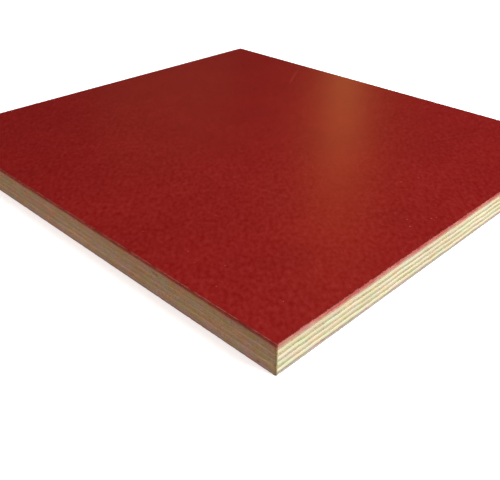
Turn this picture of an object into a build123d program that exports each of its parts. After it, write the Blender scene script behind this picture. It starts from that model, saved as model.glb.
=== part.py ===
from build123d import *
import os

# Film-faced plywood panel, a sawn piece lying flat.
# Frame: origin at the middle of the underside, +Z up through the thickness,
# +X along the longer sawn edge, +Y along the shorter one. Millimetres.

LENGTH_X = 340.0  # longer sawn edge
WIDTH_Y = 312.0  # shorter sawn edge
FILM = 0.30  # resin-soaked paper film on each face

# Peeled veneers from the top face down. The odd ones have their grain along Y,
# the even ones, laid crosswise between them, have it along X. They are as
# uneven as the sawn edge shows, and the two at the back are sanded thin.
VENEERS = [1.45, 1.60, 2.00, 1.65, 1.75, 1.65, 1.65, 1.80, 1.95, 1.15, 0.75]

THICKNESS = 2 * FILM + sum(VENEERS)  # 18.0, a standard board thickness
assert abs(THICKNESS - 18.0) < 1e-9


def layer(top, thick):
    """One flat layer over the whole panel, its top face at height top."""
    return Pos(0, 0, top - thick / 2) * Box(LENGTH_X, WIDTH_Y, thick)


os.makedirs("parts", exist_ok=True)

z = THICKNESS
layers = []
layers.append(("film_top", layer(z, FILM)))
z -= FILM
for i, thick in enumerate(VENEERS, start=1):
    if i == 1:
        name = "veneer_01_face"
    elif i == len(VENEERS):
        name = f"veneer_{i:02d}_back"
    elif i % 2 == 0:
        name = f"veneer_{i:02d}_cross"
    else:
        name = f"veneer_{i:02d}_long"
    layers.append((name, layer(z, thick)))
    z -= thick
layers.append(("film_bottom", layer(z, FILM)))
z -= FILM

for name, solid in layers:
    solid.label = name
    export_step(solid, f"parts/{name}.step")
    box = solid.bounding_box()
    print(f"{name:18s} z {box.min.Z:7.3f} to {box.max.Z:7.3f}  volume {solid.volume:10.1f}")
print(f"thickness {THICKNESS:.3f}, remainder {z:.6f}")
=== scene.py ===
import math

import bpy
import numpy as np
from mathutils import Matrix, Vector


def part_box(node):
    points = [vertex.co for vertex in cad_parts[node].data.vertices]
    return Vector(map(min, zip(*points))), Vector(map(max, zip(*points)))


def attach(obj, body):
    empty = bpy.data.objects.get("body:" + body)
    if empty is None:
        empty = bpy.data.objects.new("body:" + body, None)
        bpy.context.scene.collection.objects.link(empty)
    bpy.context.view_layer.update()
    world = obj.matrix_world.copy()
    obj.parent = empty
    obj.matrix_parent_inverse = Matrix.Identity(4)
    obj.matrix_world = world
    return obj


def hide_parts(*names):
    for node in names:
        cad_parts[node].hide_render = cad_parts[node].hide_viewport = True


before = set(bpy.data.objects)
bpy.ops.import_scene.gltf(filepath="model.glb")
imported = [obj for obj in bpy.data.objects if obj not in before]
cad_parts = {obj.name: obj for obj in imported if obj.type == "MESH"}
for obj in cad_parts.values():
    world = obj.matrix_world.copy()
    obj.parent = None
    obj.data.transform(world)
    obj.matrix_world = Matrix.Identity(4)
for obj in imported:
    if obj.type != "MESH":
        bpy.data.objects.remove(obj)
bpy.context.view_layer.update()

# ---------------------------------------------------------------- the panel's facts, in millimetres
FILM_TOP, FILM_BOTTOM = "film_top", "film_bottom"
VENEERS = sorted(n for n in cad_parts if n.startswith("veneer_"))
LAYERS = [FILM_TOP] + VENEERS + [FILM_BOTTOM]  # from the top down
BOX = {n: [np.array(c) * 1000.0 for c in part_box(n)] for n in LAYERS}
HX, HY = BOX[FILM_TOP][1][0], BOX[FILM_TOP][1][1]  # half sizes: 170 and 156
TOP = BOX[FILM_TOP][1][2]  # 18
FACES = [BOX[n][1][2] for n in LAYERS] + [BOX[FILM_BOTTOM][0][2]]  # height of each interface, top down

INSET = 0.06  # the sawn faces' mean plane lies this far inside the nominal one
CORNER = 0.95  # radius of the upright arrises, rubbed off by handling
STEP = 0.6  # spacing of the columns along a sawn edge
GRID = 2.0  # spacing of the vertices over a filmed face
RIM = 3.0  # the fine rings along the arris reach this far in
S, E, N, W = 0, 1, 2, 3  # the -Y, +X, +Y and -X edges


# ---------------------------------------------------------------- smooth seeded noise
_tables = {}


def _table(seed):
    if seed not in _tables:
        rng = np.random.RandomState(seed)
        perm = rng.permutation(256)
        ang = rng.random_sample(256) * 2 * np.pi
        _tables[seed] = (np.concatenate([perm, perm]), np.cos(ang), np.sin(ang))
    return _tables[seed]


def noise(x, y, seed):
    """Gradient noise, about -1 to 1, with features about 1 across."""
    perm, gx, gy = _table(seed)
    x, y = np.broadcast_arrays(np.asarray(x, float), np.asarray(y, float))
    xi, yi = np.floor(x).astype(int), np.floor(y).astype(int)
    xf, yf = x - xi, y - yi
    u = xf * xf * xf * (xf * (xf * 6 - 15) + 10)
    v = yf * yf * yf * (yf * (yf * 6 - 15) + 10)

    def corner(i, j):
        h = perm[perm[(xi + i) & 255] + ((yi + j) & 255)]
        return gx[h] * (xf - i) + gy[h] * (yf - j)

    a = corner(0, 0) * (1 - u) + corner(1, 0) * u
    b = corner(0, 1) * (1 - u) + corner(1, 1) * u
    return (a * (1 - v) + b * v) * 1.5


def fbm(x, y, seed, octaves=3, gain=0.5):
    total, amp, norm = 0.0, 1.0, 0.0
    for i in range(octaves):
        total = total + amp * noise(np.asarray(x) * 2**i, np.asarray(y) * 2**i, seed + 17 * i)
        norm += amp
        amp *= gain
    return total / norm


def smooth(a, b, x):
    t = np.clip((np.asarray(x, float) - a) / (b - a), 0, 1)
    return t * t * (3 - 2 * t)


# ---------------------------------------------------------------- the glue lines' heights
def drop_of(i, x, y):
    """How far interface i wanders from its flat height. Peeled veneers vary in thickness and press together unevenly, and neighbours follow each other."""
    if i == 0 or i == len(LAYERS):
        return np.zeros(np.broadcast(np.asarray(x), np.asarray(y)).shape)
    edge = min(i, len(LAYERS) - i)  # 1 for the films' own glue lines
    shared = {1: 0.06, 2: 0.20, 3: 0.34}.get(edge, 0.42)
    own = {1: 0.02, 2: 0.08, 3: 0.12}.get(edge, 0.14)
    swell = fbm(x / 27.0 + 3.1, y / 31.0 - 1.7, 41, 3)
    lone = fbm(x / 19.0 + 7.7 * i, y / 21.0 + 5.3 * i, 60 + i, 3)
    quick = noise(x / 6.5 + 9.3, y / 7.5 - 4.1, 91) + 0.6 * noise(x / 5.0 + 2.3 * i, y / 5.5 - 4.1 * i, 92 + i)
    return shared * swell + own * lone + own * 1.7 * quick


def height(i, x, y):
    return FACES[i] + drop_of(i, x, y)


# ---------------------------------------------------------------- the outline, as columns round the panel
def outline(step):
    """Columns anticlockwise from the -Y edge's left end. Gives x, y, the outward normal, the edge it belongs to, and the distance round."""
    hx, hy, r = HX - INSET, HY - INSET, CORNER
    rows = []
    runs = [
        (S, (-hx + r, -hy), (hx - r, -hy), (0, -1)),
        (E, (hx, -hy + r), (hx, hy - r), (1, 0)),
        (N, (hx - r, hy), (-hx + r, hy), (0, 1)),
        (W, (-hx, hy - r), (-hx, -hy + r), (-1, 0)),
    ]
    centres = [(hx - r, -hy + r), (hx - r, hy - r), (-hx + r, hy - r), (-hx + r, -hy + r)]
    p = 0.0
    for k, (side, a, b, n) in enumerate(runs):
        length = math.hypot(b[0] - a[0], b[1] - a[1])
        count = int(round(length / step))
        for j in range(count + 1):
            t = j / count
            rows.append((a[0] + (b[0] - a[0]) * t, a[1] + (b[1] - a[1]) * t, n[0], n[1], side, p + length * t))
        p += length
        a0 = math.atan2(n[1], n[0])
        for j in range(1, 4):
            ang = a0 + (math.pi / 2) * j / 4
            c = centres[k]
            rows.append((c[0] + r * math.cos(ang), c[1] + r * math.sin(ang), math.cos(ang), math.sin(ang),
                         side if j < 3 else (side + 1) % 4, p + r * math.pi / 2 * j / 4))
        p += r * math.pi / 2
    a = np.array(rows)
    return {"x": a[:, 0], "y": a[:, 1], "nx": a[:, 2], "ny": a[:, 3], "side": a[:, 4].astype(int), "p": a[:, 5], "round": p}


COLS = outline(STEP)
NC = len(COLS["x"])
ALONG = np.where((COLS["side"] == S) | (COLS["side"] == N), COLS["x"], COLS["y"])  # distance along its own edge


def ring_param(x, y):
    """Where on the outline a point of an inner rectangle faces it."""
    hx, hy, r = HX - INSET, HY - INSET, CORNER
    lx, ly, q = 2 * (hx - r), 2 * (hy - r), r * math.pi / 2
    return lx, ly, q, hx - r, hy - r


def inner_ring(hx, hy, xs, ys, z):
    """A rectangle of vertices, anticlockwise from its lower left corner, with the parameter on the outline that each faces."""
    lx, ly, q, ax, ay = ring_param(0, 0)
    pts, par = [], []
    for x in xs[:-1]:
        pts.append((x, -hy)); par.append(np.clip(x + ax, 0, lx))
    for y in ys[:-1]:
        pts.append((hx, y)); par.append(lx + q + np.clip(y + ay, 0, ly))
    for x in xs[::-1][:-1]:
        pts.append((x, hy)); par.append(lx + q + ly + q + np.clip(ax - x, 0, lx))
    for y in ys[::-1][:-1]:
        pts.append((-hx, y)); par.append(lx + q + ly + q + lx + q + np.clip(ay - y, 0, ly))
    pts, par = np.array(pts), np.array(par)
    # each corner vertex faces the middle of its arc
    nx, ny = len(xs) - 1, len(ys) - 1
    total = COLS["round"]
    par[0] = -q / 2
    par[nx] = lx + q / 2
    par[nx + ny] = lx + q + ly + q / 2
    par[2 * nx + ny] = lx + q + ly + q + lx + q / 2
    return pts, par, total


def zip_rings(outer, outer_p, inner, inner_p, total, up):
    """Triangles between two closed rings, each in order round the panel."""
    no, ni = len(outer), len(inner)
    tris = []
    i = j = 0
    op = np.concatenate([outer_p, [outer_p[0] + total]])
    ip = np.concatenate([inner_p, [inner_p[0] + total]])
    while i < no or j < ni:
        a, b = outer[i % no], inner[j % ni]
        if j >= ni or (i < no and op[i + 1] <= ip[j + 1]):
            t = (a, outer[(i + 1) % no], b)
            i += 1
        else:
            t = (a, inner[(j + 1) % ni], b)
            j += 1
        tris.append(t if up else t[::-1])
    return tris


# ---------------------------------------------------------------- relief of the sawn edges
# Small gaps between the sheets of a veneer layer, where the saw crossed them: edge, place along it, width, veneer number, depth, and from where to where in its thickness
GAPS = [
    (S, 85.3, 4.8, 3, 1.2, 0.24, 0.80),
    (S, -121.0, 1.6, 7, 1.1, 0.02, 0.95),
    (E, 88.0, 1.1, 8, 0.9, 0.02, 0.95),
    (N, 41.0, 2.2, 5, 1.6, 0.02, 0.95),
    (N, -96.0, 1.3, 9, 0.9, 0.02, 0.95),
    (W, -63.0, 2.4, 4, 1.4, 0.02, 0.95),
    (W, 102.0, 1.2, 8, 0.8, 0.02, 0.95),
]
# Places where the saw tore out a little wood: edge, place, veneer number, half length, depth
TEARS = [
    (S, 158.8, 10, 1.3, 0.55),
    (S, -92.0, 8, 2.2, 0.25),
    (S, -104.0, 4, 3.0, 0.22),
    (S, -137.0, 6, 2.5, 0.20),
    (E, 62.0, 5, 3.2, 0.22),
    (E, 96.0, 9, 4.0, 0.24),
    (E, 47.0, 3, 2.4, 0.18),
    (E, 121.0, 7, 3.6, 0.22),
    (N, 110.0, 2, 3.0, 0.25),
    (N, -20.0, 8, 3.4, 0.22),
    (N, -140.0, 6, 2.2, 0.26),
    (W, 30.0, 3, 3.0, 0.24),
    (W, -118.0, 9, 4.2, 0.22),
    (W, 72.0, 7, 2.6, 0.2),
]
# Slivers that stand a little proud: edge, place, height, half length, half width, how far proud, slope of the sliver
SLIVERS = [
    (S, 164.6, 5.75, 5.6, 0.42, 0.22, 0.21),
    (S, -88.0, 8.9, 6.0, 0.30, 0.12, -0.03),
    (E, 112.0, 6.4, 7.5, 0.30, 0.13, 0.02),
    (E, 66.0, 13.8, 6.0, 0.28, 0.12, -0.02),
    (N, 66.0, 7.3, 6.5, 0.30, 0.14, 0.04),
    (W, -10.0, 9.2, 7.0, 0.30, 0.14, -0.03),
]
# Bark pockets and small knots that the knife cut through: edge, place, veneer number, half length, darkness
KNOTS = [
    (E, 128.0, 7, 1.6, 0.55),
    (E, 72.5, 5, 2.4, 0.35),
    (E, 147.0, 9, 1.2, 0.45),
    (S, -112.0, 6, 2.2, 0.40),
    (S, -84.0, 4, 1.4, 0.30),
    (S, -148.0, 8, 1.8, 0.45),
    (N, 20.0, 4, 2.0, 0.45),
    (N, -70.0, 10, 1.8, 0.5),
    (W, 118.0, 5, 1.8, 0.45),
    (W, -30.0, 7, 2.4, 0.4),
]


def along_grain(number, side):
    """True where veneer number shows its long grain on that edge. Odd veneers run along Y."""
    return ((number % 2 == 1) & ((side == E) | (side == W))) | ((number % 2 == 0) & ((side == S) | (side == N)))


def relief(number, side, u, z, v):
    """Outward offset of a sawn edge in mm, the painted shade in its pits, gaps and tears, and the tone marks on it, for
    arrays of points.
    """
    long_way = along_grain(number, side)
    sd = side * 31
    # saw marks run across all the veneers alike
    saw = 0.018 * noise(u / 0.95 + 0.11 * z, side * 5.3 + z / 14.0, 301) + 0.010 * noise(u / 2.6 - 0.06 * z, side * 3.7 + 0.5, 302)
    wave = 0.05 * fbm(u / 70.0, side * 9.1 + 0.3, 303, 2)
    fibre = 0.030 * fbm(u / 15.0 + sd, z / 0.36, 310 + number, 2) + 0.016 * noise(u / 3.4 + sd, z / 0.19, 330 + number)
    ends = -0.050 + 0.035 * fbm(u / 1.3 + sd, z / 0.6, 350 + number, 2)
    pit = noise(u / 1.9 + sd, z / 0.8, 370 + number)
    ends = ends - 0.16 * smooth(0.42, 0.85, pit)
    d = saw + wave + np.where(long_way, fibre, ends)
    cavity_shade = np.where(long_way, 0.0, 0.55 * smooth(0.42, 0.85, pit))
    mark = np.zeros_like(d)
    for es, at, width, n, depth, low, high in GAPS:
        if n == number:
            m = (side == es) * (1 - smooth(width / 2 - 0.25, width / 2 + 0.35, np.abs(u - at + 0.4 * noise(v * 1.7, n, 11))))
            m = m * smooth(low, low + 0.12, v) * (1 - smooth(high - 0.15, high, v))
            d = d - depth * m
            cavity_shade = np.maximum(cavity_shade, m)
    for es, at, n, half, depth in TEARS:
        if n == number:
            q = np.hypot((u - at) / half, (v - 0.5) / 0.42) + 0.3 * noise(u * 0.9, v * 3.0, 12 + n)
            m = (side == es) * (1 - smooth(0.45, 1.1, q))
            d = d - depth * m
            cavity_shade = np.maximum(cavity_shade, 0.75 * m)
    for es, at, zc, half, wide, out, slope in SLIVERS:
        q = np.hypot((u - at) / half, (z - zc - slope * (u - at)) / wide)
        m = (side == es) * (1 - smooth(0.35, 1.05, q))
        d = d + out * m
        mark = mark + 0.9 * m
    for es, at, n, half, dark in KNOTS:
        if n == number:
            q = np.hypot((u - at) / half, (v - 0.5) / 0.55) + 0.25 * noise(u * 1.3, v * 2.0, 15 + n)
            mark = mark - dark * (side == es) * (1 - smooth(0.35, 1.15, q))
    return d, cavity_shade, mark


TONES = {}  # how pale each veneer is on each edge, all near 1
_rng = np.random.RandomState(5)
for _n in range(1, len(VENEERS) + 1):
    for _s in (S, E, N, W):
        TONES[_n, _s] = 1.0 + _rng.uniform(-0.05, 0.05)


def stain_of(number, side):
    """How much of the film's red resin has soaked into or smeared over a veneer's sawn edge, at its lower and its upper side."""
    last = len(VENEERS)
    if side in (S, N):
        return {1: (0.86, 1.0), 2: (0.04, 0.50), last - 1: (0.08, 0.03), last: (0.20, 0.12)}.get(number, (0.0, 0.0))
    return {1: (0.92, 1.0), 2: (0.40, 0.86), 3: (0.02, 0.18), last - 1: (0.08, 0.03), last: (0.18, 0.12)}.get(number, (0.0, 0.0))


def bottom_greying_of(number):
    """How greyed a veneer's sawn edge is towards the bottom of the panel, at its lower and its upper side."""
    last = len(VENEERS)
    return {last - 2: (0.35, 0.0), last - 1: (0.90, 0.40), last: (1.0, 0.95)}.get(number, (0.0, 0.0))


# ---------------------------------------------------------------- mesh building
class Builder:
    def __init__(self):
        self.parts, self.count, self.polys, self.mats, self.uvs = [], 0, [], [], []
        self.attrs = {}

    def add(self, x, y, z, **attrs):
        x, y, z = (np.ravel(np.asarray(a, float)) for a in np.broadcast_arrays(x, y, z))
        ids = np.arange(self.count, self.count + len(x))
        self.parts.append(np.stack([x, y, z], 1))
        for k in set(self.attrs) | set(attrs):
            old = self.attrs.setdefault(k, [])
            have = sum(len(a) for a in old)
            if have < self.count:
                old.append(np.zeros(self.count - have))
            old.append(np.broadcast_to(np.ravel(np.asarray(attrs.get(k, 0.0), float)), (len(x),)).copy())
        self.count += len(x)
        return ids

    def face(self, ids, mat, uv):
        self.polys.append(tuple(int(i) for i in ids))
        self.mats.append(mat)
        self.uvs.append(uv)

    def make(self, name, materials):
        me = bpy.data.meshes.new(name)
        verts = np.concatenate(self.parts) * 0.001
        me.from_pydata([tuple(v) for v in verts], [], self.polys)
        me.polygons.foreach_set("material_index", self.mats)
        me.polygons.foreach_set("use_smooth", [True] * len(self.polys))
        for k, chunks in self.attrs.items():
            vals = np.concatenate(chunks)
            vals = np.concatenate([vals, np.zeros(self.count - len(vals))])
            a = me.attributes.new(k, "FLOAT", "POINT")
            a.data.foreach_set("value", vals.astype(np.float32))
        layer = me.uv_layers.new(name="OFBake")
        flat = np.concatenate([np.asarray(uv, np.float32).ravel() for uv in self.uvs])
        layer.data.foreach_set("uv", flat)
        for m in materials:
            me.materials.append(m)
        me.validate(clean_customdata=False)
        me.update()
        ob = bpy.data.objects.new(name, me)
        bpy.context.scene.collection.objects.link(ob)
        return ob


def strips(count_px, rows, tall, px=1024.0, left=3.0, gap=3.0, bottom=3.0):
    """Lays the outline's wall out in rows on the bake map. Gives a function from (distance round, height 0 to 1) and a strip number to uv."""
    per = COLS["round"] / rows
    wide = px - 2 * left

    def place(p, h, strip):
        return ((left + (p - strip * per) / per * wide) / px, (bottom + strip * (tall + gap) + h * tall) / px)

    return per, place


def hidden_cap(b, rim_ids, i, up, mat, uv_of):
    """Closes a layer's face inside the stack: from its rim to a coarse ring, then one flat face."""
    hx, hy = HX - 6.0, HY - 6.0
    xs, ys = np.linspace(-hx, hx, 25), np.linspace(-hy, hy, 23)
    pts, par, total = inner_ring(hx, hy, xs, ys, 0)
    ids = b.add(pts[:, 0], pts[:, 1], FACES[i], tone=1.0, v=0.5)
    xy = {int(k): (COLS["x"][j], COLS["y"][j]) for j, k in enumerate(rim_ids)}
    xy.update({int(k): tuple(pts[j]) for j, k in enumerate(ids)})
    for t in zip_rings(rim_ids, COLS["p"], ids, par, total, up):
        b.face(t, mat, [uv_of(*xy[int(k)]) for k in t])
    ring = ids if up else ids[::-1]
    b.face(ring, mat, [uv_of(*xy[int(k)]) for k in ring])


def wall(b, rows_ids, rows_h, mat, per, place):
    """Quads between neighbouring rings of the outline, lowest first."""
    pr = np.concatenate([COLS["p"], [COLS["round"]]])
    last = int(round(COLS["round"] / per)) - 1
    for j in range(NC):
        k = (j + 1) % NC
        strip = min(int((pr[j] + pr[j + 1]) / 2 / per), last)
        for r in range(len(rows_ids) - 1):
            a, c = rows_ids[r], rows_ids[r + 1]
            uv = [place(pr[j], rows_h[r], strip), place(pr[j + 1], rows_h[r], strip),
                  place(pr[j + 1], rows_h[r + 1], strip), place(pr[j], rows_h[r + 1], strip)]
            b.face((a[j], a[k], c[k], c[j]), mat, uv)


def small_patch(x0, y0, w, h, px=1024.0):
    def uv(x, y):
        return ((x0 + (x + HX) / (2 * HX) * w) / px, (y0 + (y + HY) / (2 * HY) * h) / px)

    return uv


def make_veneer(index, material):
    """One veneer: its four sawn edges in relief, closed above and below where its neighbours cover it."""
    name = VENEERS[index - 1]
    i_top, i_low = index, index + 1  # interfaces above and below
    b = Builder()
    hs = np.array([0.0, 0.045, 0.16, 0.33, 0.5, 0.67, 0.84, 0.955, 1.0])
    groove = np.array([0.075, 0.018, 0, 0, 0, 0, 0, 0.018, 0.075])
    side, x0, y0 = COLS["side"], COLS["x"], COLS["y"]
    zt, zb = height(i_top, x0, y0), height(i_low, x0, y0)
    tone = np.array([TONES[index, s] for s in side])
    tone = tone * (1 + 0.05 * fbm(ALONG / 38.0 + 13.7 * index, side * 4.1 + 0.7, 501, 3))
    # the rounded upright arrises are darkened as painted shade, carrying the shaded side's darkness round the rounding,
    # and they show the fibres' ends
    turned = np.minimum(np.abs(COLS["nx"]), np.abs(COLS["ny"]))
    arris = smooth(0.05, 0.35, turned)
    tone = tone * (1 - 0.20 * arris)
    if index == 1:
        tone = tone * (1 + 0.14 * noise(ALONG / 2.3, side * 4.9 + 0.5, 541))
    soak = np.array([stain_of(index, s) for s in side])
    # the resin reaches less far down near one upright arris, and unevenly elsewhere
    soak = soak * (1 - (side == E) * (0.18 * smooth(-118.0, -146.0, ALONG) + 0.12 * smooth(-0.1, 0.4, noise(ALONG / 13.0, 0.5, 551))))[:, None]
    bottom_grey = bottom_greying_of(index)
    # the two long edges were sawn with a duller blade, which smears the grain and evens the veneers out
    smeared = (side == S) | (side == N)
    ends = np.where(along_grain(index, side), 0.0, 1.0)
    patchy = 0.26 * fbm(ALONG / 7.0 + 5.9 * index, side * 3.3 + 0.4, 521, 2)
    faded = 1 - 0.22 * smooth(-0.3, 0.4, fbm(ALONG / 16.0 + 2.9 * index, side * 2.3 + 0.4, 523, 2))
    ends = np.where(smeared, 0.42 + 0.14 * ends + patchy, ends * faded * (0.30 if index == 2 else 1.0))
    ends = np.maximum(np.clip(ends, 0, 1), arris)
    # on the one at the back the smearing and the greying are weaker
    rubbed = np.where(side == N, 0.55, 1.0) * smeared
    greying_share = np.where(side == N, 0.5, 1.0)
    # there the film's glue line also shows dark openings in places, drawn only as painted shade, without relief
    glue_gap_shade = smeared * smooth(0.05, 0.45, noise(ALONG / 3.4, side * 6.1 + 0.5, 531)) * (0.65 if index == 1 else 0.0)
    rings = []
    for h, g in zip(hs, groove):
        z = zb + h * (zt - zb)
        d, cavity_shade, mark = relief(index, side, ALONG, z, np.full(NC, h))
        x = x0 + COLS["nx"] * (d - g)
        y = y0 + COLS["ny"] * (d - g)
        cavity_shade = np.maximum(cavity_shade, glue_gap_shade * smooth(0.60, 0.90, h))
        rings.append(b.add(x, y, z, v=h, tone=tone + 0.30 * mark, stain=soak[:, 0] + (soak[:, 1] - soak[:, 0]) * h,
                           cav=cavity_shade, ends=ends, smear=rubbed, grime=greying_share * (bottom_grey[0] + (bottom_grey[1] - bottom_grey[0]) * h)))
    per, place = strips(1024, 25, 31.0)
    wall(b, rings, hs, 0, per, place)
    hidden_cap(b, rings[-1], i_top, True, 0, small_patch(8, 900, 110, 100))
    hidden_cap(b, rings[0], i_low, False, 0, small_patch(140, 900, 110, 100))
    ob = b.make("ply_%02d" % index, [material])
    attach(ob, "root")
    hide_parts(name)
    return ob


def film_skin(x, y):
    """The filmed face is not quite flat: the pressed veneer below shows through as long, very shallow ripples along its grain."""
    return 0.0045 * fbm(x / 9.0, y / 55.0, 601, 3) + 0.004 * fbm(x / 46.0, y / 52.0, 604, 2)


def chips(side, u, seed):
    """How far the saw has broken the film back from the arris, in mm."""
    small = smooth(0.25, 0.75, noise(u / 1.7 + side * 23.0, side + 0.5, seed)) * 0.16
    rare = smooth(0.50, 0.78, noise(u / 4.3 + side * 51.0, side + 0.5, seed + 1)) * 0.16
    return small + rare


def make_film(name, piece, material, face_up):
    """A film: its pressed outer face as a fine grid, its sawn rim with small chips, and a plain inner face."""
    b = Builder()
    side, x0, y0, nx, ny = COLS["side"], COLS["x"], COLS["y"], COLS["nx"], COLS["ny"]
    sgn = 1.0 if face_up else -1.0
    z_out = TOP if face_up else 0.0
    i_in = 1 if face_up else len(LAYERS) - 1
    seed = 700 if face_up else 720
    chip = chips(side, ALONG, seed)
    rough = 0.02 * noise(ALONG / 0.9, side * 7.7, seed + 5)
    z_in = height(i_in, x0, y0)
    z_face = z_out + sgn * film_skin(x0, y0)
    # from the inner face outwards: how far in from the sawn plane, and how far below the face
    steps = [(0.03, None, 0.0), (0.0, 0.62, 0.25), (0.0, 0.32, 0.55), (0.03, 0.16, 0.8), (0.09, 0.055, 1.0), (0.20, 0.0, 1.0)]
    rings, hs = [], []
    # a pale line runs nearly all the way round the arris, partly scuffed paper and partly a painted highlight, the
    # underside's weaker; on the two short edges it is the rim that is pale
    scuff_and_highlight = (0.80 if face_up else 0.15) * smooth(-0.7, 0.3, fbm(ALONG / 4.0 + side * 17.0, side + 0.5, seed + 9, 2))
    flat_on = np.where((side == S) | (side == N), 1.0, 0.22)
    for r, (inn, below, share) in enumerate(steps):
        z = z_in if below is None else z_face - sgn * below * 0.30
        push = -inn - chip * share + rough
        chips_and_highlight = smooth(0.04, 0.22, chip) * (0.35 + 0.65 * share) * (1.0 if face_up else 0.4)
        chips_and_highlight = np.maximum(chips_and_highlight, scuff_and_highlight * (0.4, 0.6, 0.9, 1.0, 1.0 * flat_on, 0.75 * flat_on)[r])
        rings.append(b.add(x0 + nx * push, y0 + ny * push, z, rim=1.0, cut=1.0 if r < 4 else 0.25, chip=chips_and_highlight,
                           grime=0.0 if face_up else np.where(flat_on == 1.0, 0.35, 1.0)))
        hs.append(r / (len(steps) - 1))
    per, place = strips(1024, 7, 8.0, gap=2.0, bottom=2.0)
    order = list(range(len(rings)))
    if not face_up:
        rings_up, hs_up = rings[::-1], [1 - h for h in hs[::-1]]
        hs_up = [hs[k] for k in order[::-1]]
    else:
        rings_up, hs_up = rings, hs
    wall(b, rings_up, hs_up, 0, per, place)

    scale = 980.0 / (2 * HX)

    def face_uv(x, y):
        return ((22.0 + (x + HX) * scale) / 1024.0, (86.0 + (y + HY) * scale) / 1024.0)

    # rings over the face near the arris
    prev = rings[-1]
    prev_xy = np.stack([x0 + nx * (-0.20 - chip), y0 + ny * (-0.20 - chip)], 1)
    for inset in (0.75, 1.7):
        x, y = x0 - nx * inset, y0 - ny * inset
        if inset > CORNER:  # keep the corner square once past the rounding
            x = np.clip(x, -(HX - INSET) + inset, (HX - INSET) - inset)
            y = np.clip(y, -(HY - INSET) + inset, (HY - INSET) - inset)
        z = z_out + sgn * film_skin(x, y)
        ring = b.add(x, y, z, rim=1 - smooth(0.0, RIM, inset))
        xy = np.stack([x, y], 1)
        for j in range(NC):
            k = (j + 1) % NC
            quad = (prev[j], prev[k], ring[k], ring[j])
            pts = (prev_xy[j], prev_xy[k], xy[k], xy[j])
            if not face_up:
                quad, pts = quad[::-1], pts[::-1]
            b.face(quad, 0, [face_uv(*q) for q in pts])
        prev, prev_xy = ring, xy
    # the grid
    gx, gy = HX - INSET - RIM, HY - INSET - RIM
    xs = np.linspace(-gx, gx, int(round(2 * gx / GRID)) + 1)
    ys = np.linspace(-gy, gy, int(round(2 * gy / GRID)) + 1)
    X, Y = np.meshgrid(xs, ys)
    ids = b.add(X, Y, z_out + sgn * film_skin(X, Y)).reshape(X.shape)
    pts, par, total = inner_ring(gx, gy, xs, ys, 0)
    ring = np.concatenate([ids[0, :-1], ids[:-1, -1], ids[-1, ::-1][:-1], ids[::-1, 0][:-1]])
    xy = {int(k): tuple(prev_xy[j]) for j, k in enumerate(prev)}
    xy.update({int(k): tuple(pts[j]) for j, k in enumerate(ring)})
    for t in zip_rings(prev, COLS["p"], ring, par, total, face_up):
        b.face(t, 0, [face_uv(*xy[int(k)]) for k in t])
    for r in range(len(ys) - 1):
        for c in range(len(xs) - 1):
            quad = [ids[r, c], ids[r, c + 1], ids[r + 1, c + 1], ids[r + 1, c]]
            uv = [face_uv(xs[c], ys[r]), face_uv(xs[c + 1], ys[r]), face_uv(xs[c + 1], ys[r + 1]), face_uv(xs[c], ys[r + 1])]
            if not face_up:
                quad, uv = quad[::-1], uv[::-1]
            b.face(quad, 0, uv)
    # the inner face, against the veneer
    hidden_cap(b, rings[0], i_in, not face_up, 0, small_patch(3, 88, 14, 14))
    ob = b.make(piece, [material])
    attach(ob, "root")
    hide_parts(name)
    return ob


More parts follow.
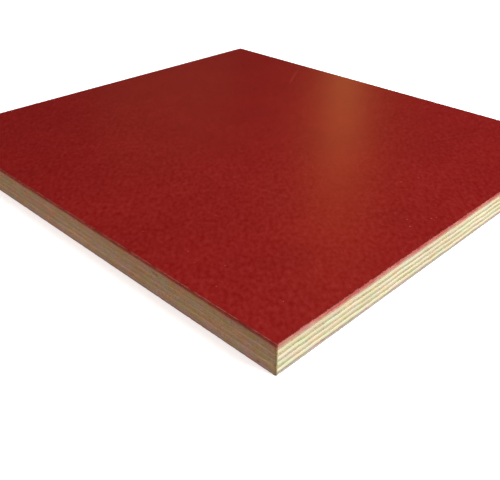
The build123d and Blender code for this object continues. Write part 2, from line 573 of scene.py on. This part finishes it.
# ---------------------------------------------------------------- materials
class Nodes:
    """Short names for making a node tree."""

    def __init__(self, name):
        self.mat = bpy.data.materials.new(name)
        self.mat.use_nodes = True
        self.t = self.mat.node_tree
        self.t.nodes.clear()
        self.out = self.t.nodes.new("ShaderNodeOutputMaterial")
        self.bsdf = self.t.nodes.new("ShaderNodeBsdfPrincipled")
        self.t.links.new(self.bsdf.outputs[0], self.out.inputs["Surface"])
        self.coord = self.t.nodes.new("ShaderNodeTexCoord").outputs["Object"]

    def put(self, socket, value):
        if hasattr(value, "is_output"):
            self.t.links.new(value, socket)
        else:
            socket.default_value = value

    def mm(self, sx, sy, sz, shift=(0.0, 0.0, 0.0), turn=(0.0, 0.0, 0.0), of=None):
        """Coordinates in units of sx, sy and sz millimetres."""
        m = self.t.nodes.new("ShaderNodeMapping")
        self.t.links.new(self.coord if of is None else of, m.inputs["Vector"])
        m.inputs["Scale"].default_value = (1000.0 / sx, 1000.0 / sy, 1000.0 / sz)
        m.inputs["Location"].default_value = shift
        m.inputs["Rotation"].default_value = turn
        return m.outputs[0]

    def noise(self, at, detail=2.0, rough=0.5, distort=0.0, colour=False):
        n = self.t.nodes.new("ShaderNodeTexNoise")
        self.t.links.new(at, n.inputs["Vector"])
        n.inputs["Scale"].default_value = 1.0
        n.inputs["Detail"].default_value = detail
        n.inputs["Roughness"].default_value = rough
        n.inputs["Distortion"].default_value = distort
        return n.outputs["Color" if colour else "Fac"]

    def cells(self, at, feature="F1", output="Distance", smooth_by=None, jitter=1.0):
        n = self.t.nodes.new("ShaderNodeTexVoronoi")
        n.feature = feature
        self.t.links.new(at, n.inputs["Vector"])
        n.inputs["Scale"].default_value = 1.0
        n.inputs["Randomness"].default_value = jitter
        if smooth_by is not None:
            n.inputs["Smoothness"].default_value = smooth_by
        return n.outputs[output]

    def fit(self, value, a, b, c=0.0, d=1.0, soft=False):
        n = self.t.nodes.new("ShaderNodeMapRange")
        n.clamp = True
        n.interpolation_type = "SMOOTHSTEP" if soft else "LINEAR"
        self.put(n.inputs["Value"], value)
        for k, x in zip(("From Min", "From Max", "To Min", "To Max"), (a, b, c, d)):
            self.put(n.inputs[k], x)
        return n.outputs["Result"]

    def math(self, op, a, b=None, c=None):
        n = self.t.nodes.new("ShaderNodeMath")
        n.operation = op
        for s, x in zip(n.inputs, (a, b, c)):
            if x is not None:
                self.put(s, x)
        return n.outputs[0]

    def mix(self, fac, a, b, how="MIX"):
        n = self.t.nodes.new("ShaderNodeMix")
        n.data_type = "RGBA"
        n.blend_type = how
        n.clamp_factor = True
        self.put(n.inputs[0], fac)
        for s, x in ((n.inputs[6], a), (n.inputs[7], b)):
            self.put(s, (*x, 1.0) if isinstance(x, tuple) and len(x) == 3 else x)
        return n.outputs[2]

    def attr(self, name):
        n = self.t.nodes.new("ShaderNodeAttribute")
        n.attribute_type = "GEOMETRY"
        n.attribute_name = name
        return n.outputs["Fac"]

    def xyz(self, at):
        n = self.t.nodes.new("ShaderNodeSeparateXYZ")
        self.t.links.new(at, n.inputs[0])
        return n.outputs

    def bump(self, height, strength, distance, normal=None):
        n = self.t.nodes.new("ShaderNodeBump")
        n.inputs["Strength"].default_value = strength
        n.inputs["Distance"].default_value = distance
        self.t.links.new(height, n.inputs["Height"])
        if normal is not None:
            self.t.links.new(normal, n.inputs["Normal"])
        return n.outputs[0]


def srgb(r, g, b):
    def one(c):
        c /= 255.0
        return c / 12.92 if c <= 0.04045 else ((c + 0.055) / 1.055) ** 2.4

    return one(r), one(g), one(b)


def veneer_material(name, grain_y):
    """Peeled birch: pale long grain where the saw ran with it, darker and duller where it cut the fibres' ends."""
    m = Nodes(name)
    along, across, up = (9.0, 0.32, 0.14), (0.30, 9.0, 0.14), None

    def grain(long_mm, wide_mm, thick_mm, shift=0.0):
        return m.mm(wide_mm, long_mm, thick_mm, (shift,) * 3) if grain_y else m.mm(long_mm, wide_mm, thick_mm, (shift,) * 3)

    # the fibres, stretched along the grain: streaks on one pair of edges and specks on the other
    broad = m.noise(grain(26.0, 1.5, 0.55, 3.0), 3.0, 0.55)
    fine = m.noise(grain(9.0, 0.26, 0.16, 11.0), 3.0, 0.6)
    pores = m.noise(grain(3.2, 0.13, 0.12, 23.0), 1.0, 0.5)
    cloud = m.noise(m.mm(45.0, 45.0, 9.0), 2.0, 0.5)
    ends = m.attr("ends")
    v = m.attr("v")
    tone = m.attr("tone")
    stain = m.attr("stain")
    cav = m.attr("cav")
    smear = m.attr("smear")
    grime = m.attr("grime")

    pale = m.mix(m.fit(broad, 0.30, 0.70), (0.765, 0.650, 0.435), (0.875, 0.795, 0.580))
    pale = m.mix(m.fit(fine, 0.56, 0.74, 0.0, 0.38), pale, (0.560, 0.395, 0.215))
    pale = m.mix(m.fit(pores, 0.66, 0.80, 0.0, 0.40), pale, (0.400, 0.250, 0.120))
    # sawn fibre ends: browner, speckled with pores, with the slanting checks that peeling leaves
    dull = m.mix(m.fit(broad, 0.30, 0.70), (0.490, 0.412, 0.230), (0.622, 0.546, 0.338))
    dull = m.mix(m.fit(fine, 0.46, 0.70, 0.0, 0.5), dull, (0.300, 0.205, 0.100))
    o = m.xyz(m.coord)
    run = o[1] if not grain_y else o[0]
    slant = m.math("MULTIPLY_ADD", o[2], 0.75, run)
    lean = m.t.nodes.new("ShaderNodeCombineXYZ")
    m.put(lean.inputs[0], m.math("MULTIPLY", slant, 1000.0 / 0.62))
    m.put(lean.inputs[1], m.math("MULTIPLY", o[2], 1000.0 / 2.6))
    checks = m.noise(lean.outputs[0], 1.0, 0.4)
    dull = m.mix(m.fit(checks, 0.60, 0.70, 0.0, 0.42), dull, (0.190, 0.120, 0.055))
    colour = m.mix(ends, pale, dull)

    # tone of this veneer, slow changes along it, and marks in it
    shade = m.math("MULTIPLY", tone, m.fit(cloud, 0.3, 0.7, 0.955, 1.045))
    grey = m.t.nodes.new("ShaderNodeCombineColor")
    for k in range(3):
        m.put(grey.inputs[k], m.math("POWER", shade, (1.0, 1.25, 1.6)[k]))
    colour = m.mix(1.0, colour, grey.outputs[0], "MULTIPLY")

    # the wood turns greener or pinker, and yellower or greyer, from place to place, most of all where the grain is smeared
    hue = m.noise(m.mm(9.0, 9.0, 4.2, (17.0, 5.0, 9.0)), 2.0, 0.5)
    much = m.fit(m.math("MAXIMUM", ends, smear), 0.0, 1.0, 0.62, 1.0)
    colour = m.mix(much, colour, m.mix(1.0, colour, m.mix(m.fit(hue, 0.34, 0.66), (1.085, 0.955, 0.985), (0.910, 1.085, 1.010)), "MULTIPLY"))
    warm = m.noise(m.mm(8.0, 8.0, 3.6, (3.0, 11.0, 4.0)), 3.0, 0.6)
    colour = m.mix(much, colour, m.mix(1.0, colour, m.mix(m.fit(warm, 0.34, 0.66), (1.015, 1.005, 0.840), (0.985, 0.995, 1.160)), "MULTIPLY"))
    # the smeared wood is muddier still, and its fibres are raised and rubbed
    muddy = m.noise(m.mm(4.5, 4.5, 2.0, (13.0, 2.0, 7.0)), 3.0, 0.6)
    torn = m.noise(m.mm(1.5, 1.5, 0.62, (23.0, 9.0, 3.0)), 2.0, 0.6)
    mud = m.mix(m.fit(muddy, 0.34, 0.66), (1.040, 0.985, 0.850), (0.970, 0.985, 1.200))
    mud = m.mix(1.0, mud, m.mix(m.fit(torn, 0.30, 0.70), (0.840, 0.820, 0.800), (1.160, 1.180, 1.200)), "MULTIPLY")
    mud = m.mix(1.0, mud, m.mix(m.fit(ends, 0.25, 0.75), (1.010, 1.000, 1.120), (0.990, 1.000, 0.880)), "MULTIPLY")
    colour = m.mix(smear, colour, m.mix(1.0, colour, mud, "MULTIPLY"))

    # resin from the film
    blot = m.noise(grain(7.0, 2.2, 0.8, 31.0), 3.0, 0.6)
    soak = m.math("MULTIPLY", stain, m.fit(blot, 0.28, 0.72, 0.82, 1.06))
    colour = m.mix(soak, colour, m.mix(1.0, colour, m.mix(smear, (0.600, 0.062, 0.104), (0.790, 0.170, 0.200)), "MULTIPLY"))

    # the lowest veneers turn greyer towards the bottom, and on the two long edges darker too
    colour = m.mix(grime, colour, m.mix(1.0, colour, m.mix(smear, (0.700, 0.650, 0.780), (0.960, 1.020, 1.360)), "MULTIPLY"))

    # glue lines
    rim = m.math("MINIMUM", v, m.math("SUBTRACT", 1.0, v))
    ragged = m.noise(grain(2.6, 0.6, 0.5, 41.0), 2.0, 0.5)
    line = m.fit(m.math("ADD", rim, m.fit(ragged, 0.3, 0.7, -0.022, 0.022)), 0.012, 0.062, 1.0, 0.0, soft=True)
    colour = m.mix(m.math("MULTIPLY", line, m.fit(ragged, 0.3, 0.7, 0.30, 0.62)), colour, (0.130, 0.062, 0.026))
    # painted shade in the pits, gaps and tears and in the openings of the film's glue line
    colour = m.mix(m.math("MULTIPLY", cav, 0.80), colour, (0.070, 0.030, 0.016))

    m.put(m.bsdf.inputs["Base Color"], colour)
    m.put(m.bsdf.inputs["Roughness"], m.fit(fine, 0.3, 0.7, 0.62, 0.80))
    m.bsdf.inputs["Specular IOR Level"].default_value = 0.28
    m.bsdf.inputs["IOR"].default_value = 1.5
    relief_h = m.math("ADD", m.math("MULTIPLY", fine, 0.6), m.math("MULTIPLY", pores, 0.5))
    relief_h = m.math("SUBTRACT", relief_h, m.math("MULTIPLY", m.math("MULTIPLY", ends, m.fit(checks, 0.60, 0.70)), 0.5))
    m.put(m.bsdf.inputs["Normal"], m.bump(relief_h, 0.55, 0.00012))
    return m.mat


def film_material(name):
    """Phenolic film: deep red paper under a thin cured resin, with the paper's cloudy fibres, small pale specks and hair scratches."""
    m = Nodes(name)
    rim, cut, chip = m.attr("rim"), m.attr("cut"), m.attr("chip")
    cloud = m.noise(m.mm(38.0, 46.0, 20.0), 3.0, 0.5)
    patch = m.noise(m.mm(5.2, 7.5, 5.0, (4.0, 1.0, 0.0)), 3.0, 0.6)
    askew = m.mm(1000.0, 1000.0, 1000.0, turn=(0.0, 0.0, math.radians(45.0)))
    mottle = m.noise(m.mm(3.70, 2.35, 2.0, (9.0, 2.0, 0.0), of=askew), 1.5, 0.50, 0.10)
    fibre_a = m.noise(m.mm(0.42, 2.6, 1.0, (1.0, 5.0, 0.0), (0, 0, 0.5)), 2.0, 0.5, 0.6)
    fibre_b = m.noise(m.mm(2.6, 0.42, 1.0, (7.0, 3.0, 0.0), (0, 0, 0.35)), 2.0, 0.5, 0.6)

    # the mottle is a little stronger towards one corner, where the film was pressed harder
    o = m.xyz(m.coord)
    strong = m.fit(m.math("SUBTRACT", o[0], o[1]), -0.30, 0.30, 0.85, 1.0)
    red = m.mix(m.fit(cloud, 0.32, 0.68), (0.217, 0.0088, 0.0080), (0.237, 0.0100, 0.0088))
    red = m.mix(1.0, red, m.mix(m.fit(patch, 0.30, 0.70), (0.950, 0.800, 0.800), (1.050, 1.200, 1.200)), "MULTIPLY")
    # the fine mottle, swinging green and blue far more than red, is partly the film's own and partly painted glints
    # from its fine relief
    red = m.mix(strong, red, m.mix(1.0, red, m.mix(m.fit(mottle, 0.26, 0.74), (0.886, 0.450, 0.430), (1.114, 1.550, 1.570)), "MULTIPLY"))
    red = m.mix(m.fit(fibre_a, 0.60, 0.76, 0.0, 0.14), red, (0.290, 0.0200, 0.0170))
    red = m.mix(m.fit(fibre_b, 0.60, 0.76, 0.0, 0.14), red, (0.290, 0.0200, 0.0170))
    # stray pale specks in the paper
    spots = m.cells(m.mm(6.5, 6.5, 6.5, (2.0, 8.0, 0.0)))
    rare = m.noise(m.mm(16.0, 16.0, 16.0, (5.0, 5.0, 0.0)), 1.0, 0.5)
    speck = m.math("MULTIPLY", m.fit(spots, 0.035, 0.075, 1.0, 0.0), m.fit(rare, 0.50, 0.62, 0.0, 0.55))
    red = m.mix(speck, red, (0.520, 0.190, 0.120))

    # hair scratches: ends in mm, half width in mm, strength
    scratch = None
    for (ax, ay), (bx, by), half, strength in SCRATCHES:
        dx, dy = bx - ax, by - ay
        length = math.hypot(dx, dy)
        tx, ty = dx / length, dy / length
        # distance along and across, in metres
        px = m.math("SUBTRACT", o[0], ax * 0.001)
        py = m.math("SUBTRACT", o[1], ay * 0.001)
        s = m.math("MULTIPLY_ADD", px, tx, m.math("MULTIPLY", py, ty))
        d = m.math("MULTIPLY_ADD", px, -ty, m.math("MULTIPLY", py, tx))
        inside = m.math("MULTIPLY", m.fit(s, 0.0, 0.15 * length * 0.001), m.fit(s, 0.8 * length * 0.001, length * 0.001, 1.0, 0.0))
        near = m.fit(m.math("ABSOLUTE", d), half * 0.0004, half * 0.001, 1.0, 0.0)
        one = m.math("MULTIPLY", m.math("MULTIPLY", near, inside), strength)
        scratch = one if scratch is None else m.math("MAXIMUM", scratch, one)
    up = m.fit(o[2], 0.0170, 0.0176)  # only on the upper film
    scratch = m.math("MULTIPLY", scratch, up)
    red = m.mix(scratch, red, (0.420, 0.090, 0.070))

    # the sawn rim is dark, and the darkening reaches over the arris onto a thin band of the face, where it is a painted
    # shadow; chips show the paler paper, and the pale line along the arris is partly scuffed paper and partly a painted
    # highlight; the underside's rim is greyed
    rim_noise = m.noise(m.mm(2.4, 2.4, 2.4, (3.0, 3.0, 3.0)), 3.0, 0.6)
    red = m.mix(m.math("MULTIPLY", m.fit(rim, 0.55, 0.95), m.fit(rim_noise, 0.35, 0.65, 0.15, 0.5)), red, (0.115, 0.010, 0.009))
    red = m.mix(m.math("MULTIPLY", m.fit(cut, 0.3, 0.9), 0.8), red, (0.235, 0.030, 0.025))
    # the chip mask carries the broken paper and also the painted highlight along the arris
    red = m.mix(m.math("MULTIPLY", chip, m.fit(rim_noise, 0.30, 0.60, 0.45, 1.0)), red, (0.400, 0.112, 0.088))
    red = m.mix(m.math("MULTIPLY", m.attr("grime"), m.fit(rim_noise, 0.30, 0.60, 0.50, 0.80)), red, (0.300, 0.225, 0.205))

    m.put(m.bsdf.inputs["Base Color"], red)
    dull = m.fit(mottle, 0.26, 0.74, 0.288, 0.326)
    dull = m.math("ADD", dull, m.fit(patch, 0.30, 0.70, -0.002, 0.006))
    dull = m.math("ADD", dull, m.math("MULTIPLY", m.math("MAXIMUM", cut, chip), 0.25))
    dull = m.math("ADD", dull, m.math("MULTIPLY", scratch, 0.12))
    m.put(m.bsdf.inputs["Roughness"], dull)
    m.bsdf.inputs["IOR"].default_value = 1.5
    m.bsdf.inputs["Specular IOR Level"].default_value = 0.5
    peel = m.noise(m.mm(0.85, 0.85, 0.85, (6.0, 1.0, 2.0)), 2.0, 0.5)
    h = m.math("ADD", m.math("MULTIPLY", peel, 0.6), m.math("MULTIPLY", mottle, 0.5))
    h = m.math("SUBTRACT", h, m.math("MULTIPLY", scratch, 0.8))
    m.put(m.bsdf.inputs["Normal"], m.bump(h, 0.12, 0.00005))
    return m.mat


SCRATCHES = [
    ((-78.7, 140.0), (-56.9, 104.6), 0.34, 0.55),
    ((40.0, -62.0), (88.0, -51.0), 0.16, 0.30),
    ((-120.0, -30.0), (-92.0, -58.0), 0.18, 0.25),
    ((96.0, 78.0), (118.0, 131.0), 0.15, 0.30),
    ((-20.0, 30.0), (-9.0, 52.0), 0.14, 0.22),
]

# ---------------------------------------------------------------- the pieces
veneer_y = veneer_material("veneer_grain_y", True)
veneer_x = veneer_material("veneer_grain_x", False)
film = film_material("red_film")
for n in range(1, len(VENEERS) + 1):
    make_veneer(n, veneer_y if n % 2 else veneer_x)
make_film(FILM_TOP, "film_face", film, True)
make_film(FILM_BOTTOM, "film_underside", film, False)

# ---------------------------------------------------------------- floor, light and camera
scene = bpy.context.scene
scene.view_settings.view_transform = "Standard"
scene.view_settings.look = "None"

me = bpy.data.meshes.new("floor")
me.from_pydata([(-12, -12, -0.0002), (12, -12, -0.0002), (12, 12, -0.0002), (-12, 12, -0.0002)], [], [(0, 1, 2, 3)])
floor = bpy.data.objects.new("floor", me)
scene.collection.objects.link(floor)
fm = Nodes("pale_floor")
fm.bsdf.inputs["Base Color"].default_value = (0.86, 0.86, 0.86, 1.0)
fm.bsdf.inputs["Emission Color"].default_value = (1.0, 1.0, 1.0, 1.0)
fm.bsdf.inputs["Emission Strength"].default_value = 0.70
fm.bsdf.inputs["Roughness"].default_value = 0.9
fm.bsdf.inputs["Specular IOR Level"].default_value = 0.1
me.materials.append(fm.mat)
floor.visible_diffuse = False
floor.visible_glossy = False


def sun(name, azimuth, elevation, strength, angle, colour, glossy=True):
    """A soft sun that shines from this compass direction: azimuth 0 is from -Y, 90 from +X."""
    data = bpy.data.lights.new(name, "SUN")
    data.energy = strength
    data.angle = math.radians(angle)
    data.color = colour
    ob = bpy.data.objects.new(name, data)
    a, e = math.radians(azimuth), math.radians(elevation)
    to = Vector((math.sin(a) * math.cos(e), -math.cos(a) * math.cos(e), math.sin(e)))
    ob.rotation_euler = to.to_track_quat("Z", "Y").to_euler()
    ob.location = to * 3.0
    scene.collection.objects.link(ob)
    ob.visible_glossy = glossy
    ob.visible_camera = False
    return ob


def softbox(name, place, target, wide, tall, power, colour, diffuse=True, glossy=True):
    data = bpy.data.lights.new(name, "AREA")
    data.shape = "RECTANGLE"
    data.size, data.size_y = wide, tall
    data.energy = power
    data.color = colour
    ob = bpy.data.objects.new(name, data)
    ob.location = place
    ob.rotation_euler = (Vector(place) - Vector(target)).to_track_quat("Z", "Y").to_euler()
    scene.collection.objects.link(ob)
    ob.visible_diffuse, ob.visible_glossy, ob.visible_camera = diffuse, glossy, False
    return ob


key_at = Vector((1.52, 0.56, 1.38))
softbox("key", key_at, (0.0, 0.0, 0.018), 1.0, 1.0, 71.5, (0.955, 1.0, 1.010))
sun("fill", 8, 14, 1.15, 50, (1.0, 0.588, 0.475), glossy=False)
sun("back", 225, 5, 1.3, 16, (1.0, 0.95, 0.90), glossy=False)
# the tall warm lamp behind that the film mirrors as a soft streak: amber low down, redder and dimmer above, with a wide glow round it
streak_aim = Vector((0.06, 0.03, 0.018))


def mirrored(name, bearing, elevation, wide, tall, power, colour, away=1.9):
    """A lamp seen only in the gloss, by its compass bearing in degrees and its elevation from the face's middle."""
    a = math.radians(bearing)
    at = streak_aim + Vector((math.sin(a), -math.cos(a), math.tan(math.radians(elevation)))) * away
    softbox(name, at, streak_aim, wide, tall, power, colour, diffuse=False)


mirrored("streak_low", 216.3, 20, 0.07, 0.42, 0.315, (1.0, 0.46, 0.12))
mirrored("streak_high", 216.3, 31, 0.08, 0.50, 0.305, (1.0, 0.20, 0.03))
mirrored("streak_glow", 215.5, 22, 0.50, 0.60, 0.017, (1.0, 0.36, 0.12))
mirrored("brown_glow", 236.0, 18, 0.50, 0.16, 0.050, (1.0, 0.85, 0.28))

world = bpy.data.worlds.new("studio")
scene.world = world
world.use_nodes = True
wt = world.node_tree
wt.nodes.clear()
wo = wt.nodes.new("ShaderNodeOutputWorld")
wm = wt.nodes.new("ShaderNodeMixShader")
wa = wt.nodes.new("ShaderNodeBackground")
wb = wt.nodes.new("ShaderNodeBackground")
lp = wt.nodes.new("ShaderNodeLightPath")
wa.inputs["Color"].default_value = (1.0, 0.93, 0.86, 1.0)
wa.inputs["Strength"].default_value = 0.09
wg = wt.nodes.new("ShaderNodeBackground")
wg.inputs["Color"].default_value = (1.0, 0.9, 0.8, 1.0)
wg.inputs["Strength"].default_value = 0.012
wn = wt.nodes.new("ShaderNodeMixShader")
wt.links.new(lp.outputs["Is Glossy Ray"], wn.inputs[0])
wt.links.new(wa.outputs[0], wn.inputs[1])
wt.links.new(wg.outputs[0], wn.inputs[2])
wb.inputs["Color"].default_value = (1.0, 1.0, 1.0, 1.0)
wb.inputs["Strength"].default_value = 0.95
wt.links.new(lp.outputs["Is Camera Ray"], wm.inputs[0])
wt.links.new(wn.outputs[0], wm.inputs[1])
wt.links.new(wb.outputs[0], wm.inputs[2])
wt.links.new(wm.outputs[0], wo.inputs["Surface"])

cam_data = bpy.data.cameras.new("camera")
cam_data.sensor_fit = "HORIZONTAL"
cam_data.sensor_width = 36.0
cam_data.lens = 654.7 * 36.0 / 500.0
cam_data.clip_start, cam_data.clip_end = 0.01, 60.0
cam = bpy.data.objects.new("camera", cam_data)
right = Vector((0.70940636, 0.70479551, 0.00242971))
upv = Vector((-0.37045794, 0.36994434, 0.85199888))
look = Vector((-0.59958613, 0.60531353, -0.52353796))
rot = Matrix((right, upv, -look)).transposed().to_4x4()
cam.matrix_world = Matrix.Translation((0.31212627, -0.31594476, 0.20177961)) @ rot
scene.collection.objects.link(cam)
scene.camera = cam
